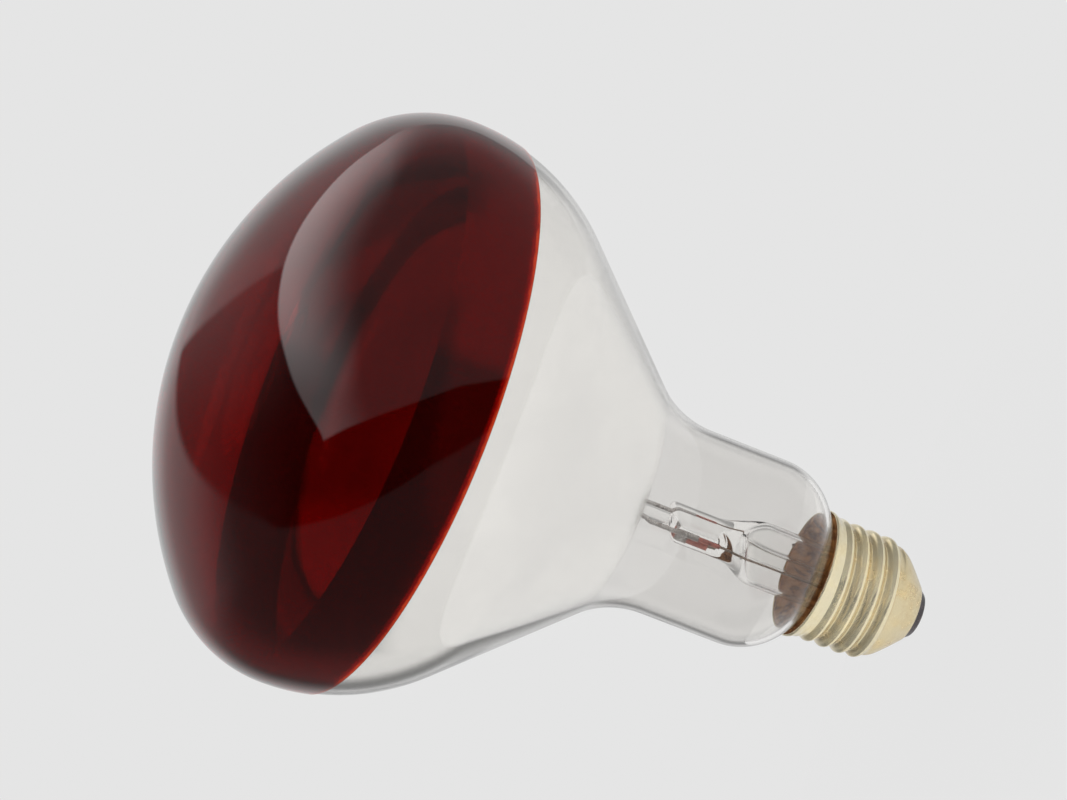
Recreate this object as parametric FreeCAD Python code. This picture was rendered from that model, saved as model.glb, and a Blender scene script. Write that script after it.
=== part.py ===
import FreeCAD
import Part
import math
import os
from FreeCAD import Vector

# Infrared heat lamp bulb, in millimetres.
# The lamp axis is Z. The end contact lies on z = 0 and the red front points up.

# Envelope
BULB_DIAMETER = 121.0
FRONT_RADIUS = 77.7
FRONT_CORNER_RADIUS = 26.5
BACK_RADIUS = 43.95
CONE_HALF_ANGLE = 41.4
NECK_DIAMETER = 40.27
NECK_LENGTH = 17.52
NECK_FILLET = 22.65
SHOULDER_RADIUS = 13.55
SHOULDER_ANGLE = 47.0
SEAT_DIAMETER = 21.5
SEAT_FILLET = 4.45
SEAT_FILLET_BELOW_RIM = 3.77
SEAT_DEPTH = 6.74
GLASS_WALL = 0.95

# Coats
RED_COAT = 0.2
RED_EDGE_BELOW_WIDEST = 9.2
MIRROR_FILM = 0.1
MIRROR_SET_BACK = 0.6
MIRROR_UNDER_RED = 1.0

# Screw cap
CEMENT_WALL = 1.06
THREAD_PITCH = 3.629
THREAD_ARC = 1.025
THREAD_BELOW_RIM = 2.64
SKIRT_BELOW_RIM = 1.6
THREAD_LOW = 9.6
SHELL_WALL = 0.32
CAP_RIM = 26.1
RIM_LIP = 0.6
LIP_BELOW_RIM = 2.0
LIP_RUN = 1.6
SHELL_CORNER = 1.2
SHELL_END_DIAMETER = 13.0
SHELL_END = 2.23
INSULATOR_FACE_DIAMETER = 9.4
INSULATOR_FACE = 0.35
INSULATOR_WALL = 2.2
INSULATOR_BELOW_CORNER = 1.2
INSULATOR_FLOOR = 3.6
CONTACT_DIAMETER = 7.4
CONTACT_HOLE_DIAMETER = 2.4
CONTACT_ROUND = 0.3
CEMENT_BELOW_RIM = 0.15
CEMENT_ABOVE_SEAL = 0.5
CEMENT_SKIRT_FIT = 0.23
CEMENT_BROW_ANGLE = 44.0

# Stem
STEM_DIAMETER = 13.6
STEM_WALL = 1.0
FLARE_RADIUS = 4.0
FLARE_RIM = 1.0
STEM_LENGTH = 21.78
PRESS_SPREAD = 4.84
PRESS_LENGTH = 12.2
PRESS_WIDTH = 14.1
PRESS_THICKNESS = 4.45
PRESS_ROUND = 1.4
EXHAUST_DIAMETER = 4.1
EXHAUST_WALL = 0.7
EXHAUST_TIP = 13.94

# Wires
LEAD_SPACING = 8.3
INNER_LEAD_DIAMETER = 0.95
SEAL_WIRE_DIAMETER = 0.7
OUTER_LEAD_DIAMETER = 0.4
SEAL_LENGTH = 5.0
INNER_LEAD_SET_IN = 6.0
LEAD_BEND = 3.0
SIDE_LEAD_BEND = 0.32

# Filament and its support
FILAMENT_HEIGHT = 95.7
FILAMENT_RING_DIAMETER = 29.0
FILAMENT_COIL_DIAMETER = 1.7
FILAMENT_SPAN = 290.0
LEAD_TIP_RUN = 6.0
HOOK_COUNT = 5
HOOK_DIAMETER = 0.4
HOOK_TURN = 290.0
ROD_DIAMETER = 2.8
BUTTON_DIAMETER = 6.0
BUTTON_HEIGHT = 4.4

# Solder
SOLDER_BEAD_RADIUS = 2.1
SOLDER_BEAD_RISE = 0.75
SOLDER_BEAD_BELOW_RIM = 1.3
SOLDER_SET_IN = 0.1
LEAD_END = 0.3

# Clearances
COAT_FIT = 0.06
WIRE_FIT = 0.02
LEAD_CLEAR = 0.08
SOLDER_FIT = 0.07
SEAT_FIT = 0.03
HOOK_FIT = 0.15

AXIS = Vector(0, 0, 1)


def at(r, z):
    return Vector(r, 0, z)


def line(start, end):
    return Part.LineSegment(start, end).toShape()


def swing(centre, radius, degrees):
    angle = math.radians(degrees)
    return centre + Vector(radius * math.cos(angle), 0, radius * math.sin(angle))


def arc(centre, radius, first, last):
    middle = swing(centre, radius, (first + last) / 2)
    return Part.Arc(swing(centre, radius, first), middle, swing(centre, radius, last)).toShape()


def turned(edges):
    return Part.Face(Part.Wire(edges)).revolve(Vector(), AXIS, 360)


def outline(*points):
    return [line(a, b) for a, b in zip(points, points[1:] + points[:1])]


# The places along the axis follow from the cap upwards.
SEAT_R = SEAT_DIAMETER / 2
NECK_R = NECK_DIAMETER / 2
BULB_R = BULB_DIAMETER / 2
SEAL_Z = CAP_RIM - SEAT_DEPTH
SHOULDER_TURN = math.radians(SHOULDER_ANGLE)
CONE_TURN = math.radians(CONE_HALF_ANGLE)

# The cap's shell stands off the seat by the cement, which sets the root of its thread.
ROOT_R = SEAT_R + CEMENT_WALL + SHELL_WALL
THREAD_TOP = CAP_RIM - THREAD_BELOW_RIM
SKIRT_LOW = CAP_RIM - SKIRT_BELOW_RIM
LIP_LOW = CAP_RIM - LIP_BELOW_RIM
RIM_R = ROOT_R + 2 * THREAD_ARC * (1 - math.sqrt(1 - (THREAD_PITCH / 4 / THREAD_ARC) ** 2))

SHOULDER_R = NECK_R - SHOULDER_RADIUS
SEAT_CENTRE_R = SEAT_R + SEAT_FILLET
SEAT_CENTRE_Z = CAP_RIM - SEAT_FILLET_BELOW_RIM
FLANK_START_R = SEAT_CENTRE_R - SEAT_FILLET * math.cos(SHOULDER_TURN)
FLANK_START_Z = SEAT_CENTRE_Z + SEAT_FILLET * math.sin(SHOULDER_TURN)
FLANK_END_R = SHOULDER_R + SHOULDER_RADIUS * math.cos(SHOULDER_TURN)
FLANK_END_Z = FLANK_START_Z + (FLANK_END_R - FLANK_START_R) / math.tan(SHOULDER_TURN)
SHOULDER_Z = FLANK_END_Z + SHOULDER_RADIUS * math.sin(SHOULDER_TURN)
NECK_TOP = SHOULDER_Z + NECK_LENGTH
CONE_START_R = NECK_R + NECK_FILLET * (1 - math.cos(CONE_TURN))
CONE_START_Z = NECK_TOP + NECK_FILLET * math.sin(CONE_TURN)
CONE_END_R = BULB_R - BACK_RADIUS * (1 - math.cos(CONE_TURN))
CONE_END_Z = CONE_START_Z + (CONE_END_R - CONE_START_R) / math.tan(CONE_TURN)
WIDEST_Z = CONE_END_Z + BACK_RADIUS * math.sin(CONE_TURN)

SEAT_CENTRE = at(SEAT_CENTRE_R, SEAT_CENTRE_Z)
SHOULDER_CENTRE = at(SHOULDER_R, SHOULDER_Z)
FILLET_CENTRE = at(NECK_R + NECK_FILLET, NECK_TOP)
BACK_CENTRE = at(BULB_R - BACK_RADIUS, WIDEST_Z)
CORNER_CENTRE = at(BULB_R - FRONT_CORNER_RADIUS, WIDEST_Z)
CORNER_END = math.degrees(
    math.acos((BULB_R - FRONT_CORNER_RADIUS) / (FRONT_RADIUS - FRONT_CORNER_RADIUS))
)
FRONT_CENTRE = at(0, WIDEST_Z) - at(0, 1) * math.sqrt(
    (FRONT_RADIUS - FRONT_CORNER_RADIUS) ** 2 - (BULB_R - FRONT_CORNER_RADIUS) ** 2
)


def front_arcs(depth, first):
    """The part of the outline in front of an angle on the back arc, at a depth in the wall."""
    return [
        arc(BACK_CENTRE, BACK_RADIUS - depth, first, 0),
        arc(CORNER_CENTRE, FRONT_CORNER_RADIUS - depth, 0, CORNER_END),
        arc(FRONT_CENTRE, FRONT_RADIUS - depth, CORNER_END, 90),
    ]


def flank(depth, start_angle):
    """The straight cone from a set back along it, and the back arc up to an angle."""
    run = at(math.sin(CONE_TURN), math.cos(CONE_TURN))
    foot = swing(FILLET_CENTRE, NECK_FILLET + depth, 180 - CONE_HALF_ANGLE)
    head = swing(BACK_CENTRE, BACK_RADIUS - depth, -CONE_HALF_ANGLE)
    return [
        line(foot + run * MIRROR_SET_BACK, head),
        arc(BACK_CENTRE, BACK_RADIUS - depth, -CONE_HALF_ANGLE, start_angle),
    ]


def glass_outline(depth):
    seat_end = swing(SEAT_CENTRE, SEAT_FILLET + depth, 180)
    flank_start = swing(SEAT_CENTRE, SEAT_FILLET + depth, 180 - SHOULDER_ANGLE)
    flank_end = swing(SHOULDER_CENTRE, SHOULDER_RADIUS - depth, -SHOULDER_ANGLE)
    neck_start = swing(SHOULDER_CENTRE, SHOULDER_RADIUS - depth, 0)
    neck_end = swing(FILLET_CENTRE, NECK_FILLET + depth, 180)
    cone_start = swing(FILLET_CENTRE, NECK_FILLET + depth, 180 - CONE_HALF_ANGLE)
    cone_end = swing(BACK_CENTRE, BACK_RADIUS - depth, -CONE_HALF_ANGLE)
    return [
        line(at(SEAT_R - depth, SEAL_Z), seat_end),
        arc(SEAT_CENTRE, SEAT_FILLET + depth, 180, 180 - SHOULDER_ANGLE),
        line(flank_start, flank_end),
        arc(SHOULDER_CENTRE, SHOULDER_RADIUS - depth, -SHOULDER_ANGLE, 0),
        line(neck_start, neck_end),
        arc(FILLET_CENTRE, NECK_FILLET + depth, 180, 180 - CONE_HALF_ANGLE),
        line(cone_start, cone_end),
    ] + front_arcs(depth, -CONE_HALF_ANGLE)


def bulb_glass():
    foot = line(at(SEAT_R - GLASS_WALL, SEAL_Z), at(SEAT_R, SEAL_Z))
    top = FRONT_CENTRE + AXIS * FRONT_RADIUS
    head = line(top, top - AXIS * GLASS_WALL)
    inside = glass_outline(GLASS_WALL)
    return turned([foot] + glass_outline(0) + [head] + inside[::-1])


RED_EDGE = -math.degrees(math.asin(RED_EDGE_BELOW_WIDEST / BACK_RADIUS))
MIRROR_EDGE = RED_EDGE + math.degrees(MIRROR_UNDER_RED / BACK_RADIUS)


def red_front_coat():
    top = FRONT_CENTRE + AXIS * FRONT_RADIUS
    face = COAT_FIT + RED_COAT
    head = line(top + AXIS * face, top + AXIS * COAT_FIT)
    edge = line(
        swing(BACK_CENTRE, BACK_RADIUS + COAT_FIT, RED_EDGE),
        swing(BACK_CENTRE, BACK_RADIUS + face, RED_EDGE),
    )
    under = front_arcs(-COAT_FIT, RED_EDGE)
    return turned([edge] + front_arcs(-face, RED_EDGE) + [head] + under[::-1])


def mirror_coat():
    near = GLASS_WALL + COAT_FIT
    far = near + MIRROR_FILM
    back = flank(near, MIRROR_EDGE)
    face = flank(far, MIRROR_EDGE)
    low = line(face[0].Vertexes[0].Point, back[0].Vertexes[0].Point)
    high = line(
        swing(BACK_CENTRE, BACK_RADIUS - near, MIRROR_EDGE),
        swing(BACK_CENTRE, BACK_RADIUS - far, MIRROR_EDGE),
    )
    return turned([low] + back + [high] + face[::-1])


# Stem: the flare is fused to the end of the neck and the tube rises inside it.
STEM_R = STEM_DIAMETER / 2
FLARE_CENTRE_R = STEM_R + FLARE_RADIUS
FLARE_TOP = SEAL_Z + math.sqrt(FLARE_RADIUS ** 2 - (FLARE_CENTRE_R - SEAT_R + GLASS_WALL) ** 2)
STEM_TOP = SEAL_Z + STEM_LENGTH
PRESS_START = STEM_TOP + PRESS_SPREAD
PRESS_TOP = PRESS_START + PRESS_LENGTH
SEAL_TOP = PRESS_TOP - INNER_LEAD_SET_IN
SEAL_LOW = SEAL_TOP - SEAL_LENGTH
LEAD_X = LEAD_SPACING / 2


def ring_of(half_length, radius, z):
    """A rounded slot of four edges, a circle when its half length is nil."""
    turn = math.sqrt(0.5)
    right = Vector(half_length, 0, z)
    left = Vector(-half_length, 0, z)
    corner = Vector(radius * turn, radius * turn, 0)
    if half_length > 0:
        corner = Vector(0, radius, 0)
    mirror = Vector(corner.x, -corner.y, 0)
    reach = Vector(radius, 0, 0)
    rise = Vector(0, radius, 0)
    if half_length > 0:
        top = line(right + corner, left + corner)
        bottom = line(left - corner, right - corner)
    else:
        top = Part.Arc(right + corner, right + rise, left - mirror).toShape()
        bottom = Part.Arc(left - corner, left - rise, right + mirror).toShape()
    return Part.Wire([
        Part.Arc(right + mirror, right + reach, right + corner).toShape(),
        top,
        Part.Arc(left - mirror, left - reach, left - corner).toShape(),
        bottom,
    ])


def wire_along(points, diameter, bend):
    """A round wire along straight runs joined by tangent bends."""
    edges = []
    start = points[0]
    for before, corner, after in zip(points, points[1:], points[2:]):
        back = (before - corner).normalize()
        ahead = (after - corner).normalize()
        half = math.acos(max(-1.0, min(1.0, back.dot(ahead)))) / 2
        trim = bend / math.tan(half)
        first = corner + back * trim
        last = corner + ahead * trim
        inward = (back + ahead).normalize()
        middle = corner + inward * (bend / math.sin(half) - bend)
        edges.append(line(start, first))
        edges.append(Part.Arc(first, middle, last).toShape())
        start = last
    edges.append(line(start, points[-1]))
    run = (points[1] - points[0]).normalize()
    section = Part.Wire(Part.makeCircle(diameter / 2, points[0], run))
    return Part.Wire(edges).makePipeShell([section], True, False)


def upright(x, low, high, diameter):
    return Part.makeCylinder(diameter / 2, high - low, Vector(x, 0, low), AXIS)


def stem_glass():
    bore = STEM_R - STEM_WALL
    centre = at(FLARE_CENTRE_R, FLARE_TOP)
    outer_low = math.degrees(math.asin((FLARE_TOP - SEAL_Z) / FLARE_RADIUS))
    inner_arc = FLARE_RADIUS + STEM_WALL
    inner_low = math.degrees(math.asin((FLARE_TOP - SEAL_Z + FLARE_RIM) / inner_arc))
    shoulder = swing(centre, FLARE_RADIUS, 180 + outer_low)
    hem = swing(centre, inner_arc, 180 + inner_low)
    tube = turned([
        line(at(SEAT_R, SEAL_Z), shoulder),
        arc(centre, FLARE_RADIUS, 180 + outer_low, 180),
        line(at(STEM_R, FLARE_TOP), at(STEM_R, STEM_TOP)),
        line(at(STEM_R, STEM_TOP), at(bore, STEM_TOP)),
        line(at(bore, STEM_TOP), at(bore, FLARE_TOP)),
        arc(centre, inner_arc, 180, 180 + inner_low),
        line(hem, at(SEAT_R, SEAL_Z - FLARE_RIM)),
        line(at(SEAT_R, SEAL_Z - FLARE_RIM), at(SEAT_R, SEAL_Z)),
    ])
    slot_r = PRESS_THICKNESS / 2
    slot_half = PRESS_WIDTH / 2 - slot_r
    foot = ring_of(0, STEM_R, STEM_TOP)
    slot = ring_of(slot_half, slot_r, PRESS_START)
    spread = Part.makeLoft([foot, slot], True, True)
    block = Part.Face(slot).extrude(AXIS * PRESS_LENGTH)
    top_edges = [e for e in block.Edges if e.BoundBox.ZMin > PRESS_TOP - 0.01]
    block = block.makeFillet(PRESS_ROUND, top_edges)
    glass = tube.fuse([spread, block]).removeSplitter()
    for x in (-LEAD_X, LEAD_X):
        lower = upright(x, STEM_TOP - 1, SEAL_LOW, OUTER_LEAD_DIAMETER + 2 * WIRE_FIT)
        middle = upright(x, SEAL_LOW, SEAL_TOP, SEAL_WIRE_DIAMETER + 2 * WIRE_FIT)
        upper = upright(x, SEAL_TOP, PRESS_TOP + 1, INNER_LEAD_DIAMETER + 2 * WIRE_FIT)
        glass = glass.cut(lower.fuse([middle, upper]))
    return glass


def exhaust_tube():
    outer = EXHAUST_DIAMETER / 2
    inner = outer - EXHAUST_WALL
    tip = at(0, EXHAUST_TIP + outer)
    return turned([
        arc(tip, outer, -90, 0),
        line(at(outer, EXHAUST_TIP + outer), at(outer, STEM_TOP)),
        line(at(outer, STEM_TOP), at(inner, STEM_TOP)),
        line(at(inner, STEM_TOP), at(inner, EXHAUST_TIP + outer)),
        arc(tip, inner, 0, -90),
        line(at(0, EXHAUST_TIP + EXHAUST_WALL), at(0, EXHAUST_TIP)),
    ])


# Filament ring, its hooks and the leads that reach its ends.
RING_R = FILAMENT_RING_DIAMETER / 2
RING_FIRST = -90 + (360 - FILAMENT_SPAN) / 2
LOOP_R = FILAMENT_COIL_DIAMETER / 2 + HOOK_DIAMETER / 2 + HOOK_FIT
HOOK_Z = FILAMENT_HEIGHT - LOOP_R


def filament():
    centre = Vector(0, 0, FILAMENT_HEIGHT)
    ring = Part.makeCircle(RING_R, centre, AXIS, RING_FIRST, RING_FIRST + FILAMENT_SPAN)
    start = ring.valueAt(ring.FirstParameter)
    along = ring.tangentAt(ring.FirstParameter)
    section = Part.Wire(Part.makeCircle(FILAMENT_COIL_DIAMETER / 2, start, along))
    return Part.Wire(ring).makePipeShell([section], True, False)


def inner_lead(side):
    angle = math.radians(RING_FIRST)
    end = Vector(side * RING_R * math.cos(angle), RING_R * math.sin(angle), FILAMENT_HEIGHT)
    along = Vector(-side * math.sin(angle), math.cos(angle), 0)
    points = [
        Vector(side * LEAD_X, 0, SEAL_TOP),
        Vector(side * LEAD_X, 0, PRESS_TOP + 2 * LEAD_BEND),
        end - along * LEAD_TIP_RUN,
        end,
    ]
    return wire_along(points, INNER_LEAD_DIAMETER, LEAD_BEND)


def filament_hook(number):
    inner = BUTTON_DIAMETER / 4
    centre = at(RING_R, FILAMENT_HEIGHT)
    run = line(at(inner, HOOK_Z), at(RING_R, HOOK_Z))
    loop = arc(centre, LOOP_R, -90, -90 + HOOK_TURN)
    section = Part.Wire(Part.makeCircle(HOOK_DIAMETER / 2, at(inner, HOOK_Z), Vector(1, 0, 0)))
    hook = Part.Wire([run, loop]).makePipeShell([section], True, False)
    angle = RING_FIRST + FILAMENT_SPAN * number / (HOOK_COUNT + 1)
    hook.rotate(Vector(), AXIS, angle)
    return hook


def support_rod():
    rod = ROD_DIAMETER / 2
    button = BUTTON_DIAMETER / 2
    low = HOOK_Z - BUTTON_HEIGHT / 2
    high = HOOK_Z + BUTTON_HEIGHT / 2
    round_r = BUTTON_HEIGHT / 2
    belly = at(button - round_r, HOOK_Z)
    glass = turned([
        line(at(0, PRESS_TOP), at(rod, PRESS_TOP)),
        line(at(rod, PRESS_TOP), at(rod, HOOK_Z)),
        line(at(rod, HOOK_Z), at(0, HOOK_Z)),
        line(at(0, HOOK_Z), at(0, PRESS_TOP)),
    ])
    knob = turned([
        line(at(0, low), at(button - round_r, low)),
        arc(belly, round_r, -90, 90),
        line(at(button - round_r, high), at(0, high)),
        line(at(0, high), at(0, low)),
    ])
    glass = glass.fuse(knob).removeSplitter()
    for number in range(1, HOOK_COUNT + 1):
        angle = math.radians(RING_FIRST + FILAMENT_SPAN * number / (HOOK_COUNT + 1))
        way = Vector(math.cos(angle), math.sin(angle), 0)
        start = way * (BUTTON_DIAMETER / 4) + AXIS * HOOK_Z
        hole = Part.makeCylinder(HOOK_DIAMETER / 2 + WIRE_FIT, button, start, way)
        glass = glass.cut(hole)
    return glass


# Cap: a thin shell rolled with a round thread, so both faces carry it.
SHELL_END_R = SHELL_END_DIAMETER / 2
CONE_TOP = SHELL_END + ROOT_R - SHELL_END_R


def thread_height(phase):
    """Height over the root of a profile of equal arcs, for a phase in turns from a crest."""
    phase = phase - math.floor(phase + 0.5)
    reach = abs(phase) * THREAD_PITCH
    quarter = THREAD_PITCH / 4
    rise = THREAD_ARC - math.sqrt(THREAD_ARC ** 2 - quarter ** 2)
    if reach <= quarter:
        return 2 * rise - THREAD_ARC + math.sqrt(THREAD_ARC ** 2 - reach ** 2)
    return THREAD_ARC - math.sqrt(THREAD_ARC ** 2 - (2 * quarter - reach) ** 2)


def ease(value):
    value = max(0.0, min(1.0, value))
    return value * value * (3 - 2 * value)


def core_radius(z, inset):
    """Radius of the shell without its thread: the end cone, a rounded corner and the root."""
    past = z - CONE_TOP
    bend = math.sqrt(past ** 2 + SHELL_CORNER ** 2)
    slope = (1 - past / bend) / 2
    return ROOT_R + (past - bend) / 2 - inset * math.sqrt(1 + slope ** 2)


def shell_radius(turn, z, inset):
    """Radius of one face of the shell, its thread fading into the skirt and the end cone."""
    full = RIM_R - ROOT_R
    ridge = thread_height((z - THREAD_TOP) / THREAD_PITCH - turn)
    into_skirt = ease((z - SKIRT_LOW + THREAD_PITCH) / THREAD_PITCH)
    out_of_cone = ease((z - THREAD_LOW + THREAD_PITCH / 2) / THREAD_PITCH)
    ridge = ridge * out_of_cone * (1 - into_skirt) + full * into_skirt
    lip = RIM_LIP * ease((z - LIP_LOW) / LIP_RUN)
    return core_radius(z, inset) + ridge + lip


def shell_skin(inset):
    """One face of the shell as a smooth closed sheet, from the end cone to the rim."""
    steps = 40
    swell = 3 / (2 + math.cos(2 * math.pi / steps))
    rows = int(math.ceil((CAP_RIM - SHELL_END) / (THREAD_PITCH / 14)))
    poles = []
    for row in range(rows + 1):
        z = SHELL_END + (CAP_RIM - SHELL_END) * row / rows
        ring = []
        for step in range(steps):
            turn = step / steps
            angle = 2 * math.pi * turn
            r = shell_radius(turn, z, inset) * swell
            ring.append(Vector(r * math.cos(angle), r * math.sin(angle), z))
        poles.append(ring)
    spans = rows - 2
    sheet = Part.BSplineSurface()
    sheet.buildFromPolesMultsKnots(
        poles,
        [4] + [1] * (spans - 1) + [4],
        [1] * (steps + 1),
        list(range(spans + 1)),
        list(range(steps + 1)),
        False,
        True,
        3,
        3,
    )
    return sheet.toShape()


def end_disc(skin, high):
    edges = [e for e in skin.Edges if e.isClosed()]
    edges.sort(key=lambda e: e.BoundBox.Center.z)
    return Part.Face(Part.Wire(edges[-1] if high else edges[0]))


def screw_shell():
    outer = shell_skin(0)
    inner = shell_skin(SHELL_WALL)
    faces = [outer, inner.reversed()]
    for high in (False, True):
        faces += end_disc(outer, high).cut(end_disc(inner, high)).Faces
    shell = Part.Shell(faces)
    shell.sewShape()
    return Part.Solid(shell)


def cap_insulator():
    hole = CONTACT_HOLE_DIAMETER / 2
    face = INSULATOR_FACE_DIAMETER / 2
    top_z = CONE_TOP - INSULATOR_BELOW_CORNER
    brink_r = core_radius(SHELL_END, SHELL_WALL) - SEAT_FIT
    top_r = core_radius(top_z, SHELL_WALL) - SEAT_FIT
    floor_z = INSULATOR_FACE + INSULATOR_FLOOR
    floor_r = brink_r + floor_z - SHELL_END - INSULATOR_WALL
    return turned(outline(
        at(hole, INSULATOR_FACE),
        at(face, INSULATOR_FACE),
        at(brink_r, SHELL_END),
        at(top_r, top_z),
        at(top_r - INSULATOR_WALL, top_z),
        at(floor_r, floor_z),
        at(hole, floor_z),
    ))


def centre_contact():
    hole = CONTACT_HOLE_DIAMETER / 2
    edge = CONTACT_DIAMETER / 2
    round_r = CONTACT_ROUND
    return turned([
        line(at(hole, 0), at(edge - round_r, 0)),
        arc(at(edge - round_r, round_r), round_r, -90, 0),
        line(at(edge, round_r), at(edge, INSULATOR_FACE)),
        line(at(edge, INSULATOR_FACE), at(hole, INSULATOR_FACE)),
        line(at(hole, INSULATOR_FACE), at(hole, 0)),
    ])


SIDE_R = (SEAT_R + ROOT_R - SHELL_WALL) / 2
SKIRT_R = RIM_R + RIM_LIP
SKIRT_LEAD_R = RIM_R - SHELL_WALL - OUTER_LEAD_DIAMETER / 2 - LEAD_CLEAR
LIP_LEAD_R = SKIRT_LEAD_R + RIM_LIP
SIDE_RIM_Z = CAP_RIM + OUTER_LEAD_DIAMETER / 2 + LEAD_CLEAR


def outer_lead_centre():
    points = [
        at(-LEAD_X, SEAL_LOW),
        at(-LEAD_X, EXHAUST_TIP - OUTER_LEAD_DIAMETER),
        at(0, INSULATOR_FACE + INSULATOR_FLOOR + LEAD_BEND),
        at(0, LEAD_END),
    ]
    return wire_along(points, OUTER_LEAD_DIAMETER, LEAD_BEND / 2)


def side_lead(diameter):
    under = SEAL_Z - FLARE_RIM - 3 * OUTER_LEAD_DIAMETER
    outside = SKIRT_R + OUTER_LEAD_DIAMETER / 2 + LEAD_CLEAR
    points = [
        at(LEAD_X, SEAL_LOW),
        at(LEAD_X, under),
        at(SIDE_R, under),
        at(SIDE_R, THREAD_TOP - THREAD_PITCH * 0.35),
        at(SKIRT_LEAD_R, THREAD_TOP + LEAD_CLEAR),
        at(SKIRT_LEAD_R, LIP_LOW + OUTER_LEAD_DIAMETER / 2),
        at(LIP_LEAD_R, LIP_LOW + LIP_RUN - LEAD_CLEAR),
        at(LIP_LEAD_R, SIDE_RIM_Z),
        at(outside, SIDE_RIM_Z),
        at(outside, CAP_RIM - SOLDER_BEAD_RADIUS * 0.75),
    ]
    return wire_along(points, diameter, SIDE_LEAD_BEND)


def contact_solder():
    lead = OUTER_LEAD_DIAMETER / 2 + WIRE_FIT
    hole = CONTACT_HOLE_DIAMETER / 2 - WIRE_FIT
    length = INSULATOR_FACE + INSULATOR_FLOOR - SOLDER_SET_IN
    plug = Part.makeCylinder(hole, length, at(0, SOLDER_SET_IN), AXIS)
    return plug.cut(Part.makeCylinder(lead, length, at(0, LEAD_END - WIRE_FIT), AXIS))


def side_solder():
    centre = at(SKIRT_R + SOLDER_BEAD_RISE - SOLDER_BEAD_RADIUS, CAP_RIM - SOLDER_BEAD_BELOW_RIM)
    bead = Part.makeSphere(SOLDER_BEAD_RADIUS, centre)
    inside = turned(outline(
        at(0, 0),
        at(RIM_R + SOLDER_FIT, 0),
        at(RIM_R + SOLDER_FIT, LIP_LOW),
        at(SKIRT_R + SOLDER_FIT, LIP_LOW + LIP_RUN),
        at(SKIRT_R + SOLDER_FIT, 2 * CAP_RIM),
        at(0, 2 * CAP_RIM),
    ))
    bead = bead.cut(inside)
    return bead.cut(side_lead(OUTER_LEAD_DIAMETER + 2 * WIRE_FIT))


def cap_cement():
    inner = SEAT_R + SEAT_FIT
    minor = ROOT_R - SHELL_WALL - SEAT_FIT
    skirt = RIM_R - SHELL_WALL - CEMENT_SKIRT_FIT
    step_low = SKIRT_LOW
    step_high = step_low + (skirt - minor) / 2
    low = SEAL_Z + CEMENT_ABOVE_SEAL
    top = CAP_RIM - CEMENT_BELOW_RIM
    seat_angle = 180 - CEMENT_BROW_ANGLE
    hollow = SEAT_FILLET - SEAT_FIT
    brow = swing(SEAT_CENTRE, hollow, seat_angle)
    lip = skirt + RIM_LIP
    groove = brow.x + (top - brow.z) * math.tan(SHOULDER_TURN) + 2 * SEAT_FIT
    ring = turned([
        line(at(inner, low), at(minor, low)),
        line(at(minor, low), at(minor, step_low)),
        line(at(minor, step_low), at(skirt, step_high)),
        line(at(skirt, step_high), at(lip, LIP_LOW + LIP_RUN)),
        line(at(lip, LIP_LOW + LIP_RUN), at(lip, top)),
        line(at(lip, top), at(groove, top)),
        line(at(groove, top), brow),
        arc(SEAT_CENTRE, hollow, seat_angle, 180),
        line(at(inner, SEAT_CENTRE_Z), at(inner, low)),
    ])
    return ring.cut(side_lead(OUTER_LEAD_DIAMETER + 2 * WIRE_FIT))


nodes = {
    "bulb_glass": bulb_glass(),
    "red_front_coat": red_front_coat(),
    "mirror_coat": mirror_coat(),
    "stem_glass": stem_glass(),
    "exhaust_tube": exhaust_tube(),
    "support_rod": support_rod(),
    "inner_lead_a": inner_lead(1),
    "inner_lead_b": inner_lead(-1),
    "seal_wire_a": upright(LEAD_X, SEAL_LOW, SEAL_TOP, SEAL_WIRE_DIAMETER),
    "seal_wire_b": upright(-LEAD_X, SEAL_LOW, SEAL_TOP, SEAL_WIRE_DIAMETER),
    "outer_lead_centre": outer_lead_centre(),
    "outer_lead_side": side_lead(OUTER_LEAD_DIAMETER),
    "filament": filament(),
    "screw_shell": screw_shell(),
    "cap_cement": cap_cement(),
    "cap_insulator": cap_insulator(),
    "centre_contact": centre_contact(),
    "contact_solder": contact_solder(),
    "side_solder": side_solder(),
}
for number in range(1, HOOK_COUNT + 1):
    nodes["filament_hook_%d" % number] = filament_hook(number)

os.makedirs("parts", exist_ok=True)
for name, shape in nodes.items():
    shape.exportStep("parts/%s.step" % name)
    print(name, shape.isValid(), len(shape.Solids), round(shape.Volume, 2))
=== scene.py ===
import math

import bmesh
import bpy
from mathutils import Matrix, Vector, noise


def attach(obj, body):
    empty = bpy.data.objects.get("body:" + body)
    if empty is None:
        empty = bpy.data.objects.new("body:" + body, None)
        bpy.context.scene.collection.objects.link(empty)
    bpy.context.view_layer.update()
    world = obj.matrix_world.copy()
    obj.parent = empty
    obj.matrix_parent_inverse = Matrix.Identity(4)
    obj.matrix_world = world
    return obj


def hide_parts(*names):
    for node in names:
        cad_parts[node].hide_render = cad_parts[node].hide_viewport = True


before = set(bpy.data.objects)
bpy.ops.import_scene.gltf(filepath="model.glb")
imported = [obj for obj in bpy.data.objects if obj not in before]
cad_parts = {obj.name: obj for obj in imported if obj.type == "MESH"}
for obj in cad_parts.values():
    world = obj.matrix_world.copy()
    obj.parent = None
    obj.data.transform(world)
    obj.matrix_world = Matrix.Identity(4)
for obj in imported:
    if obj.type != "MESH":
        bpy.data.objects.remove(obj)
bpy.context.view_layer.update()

# Infrared heat lamp bulb. Sizes are in millimetres on the lamp axis, as in the part's source.
MM = 0.001
TURN = 2 * math.pi
STEPS = 224

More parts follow.
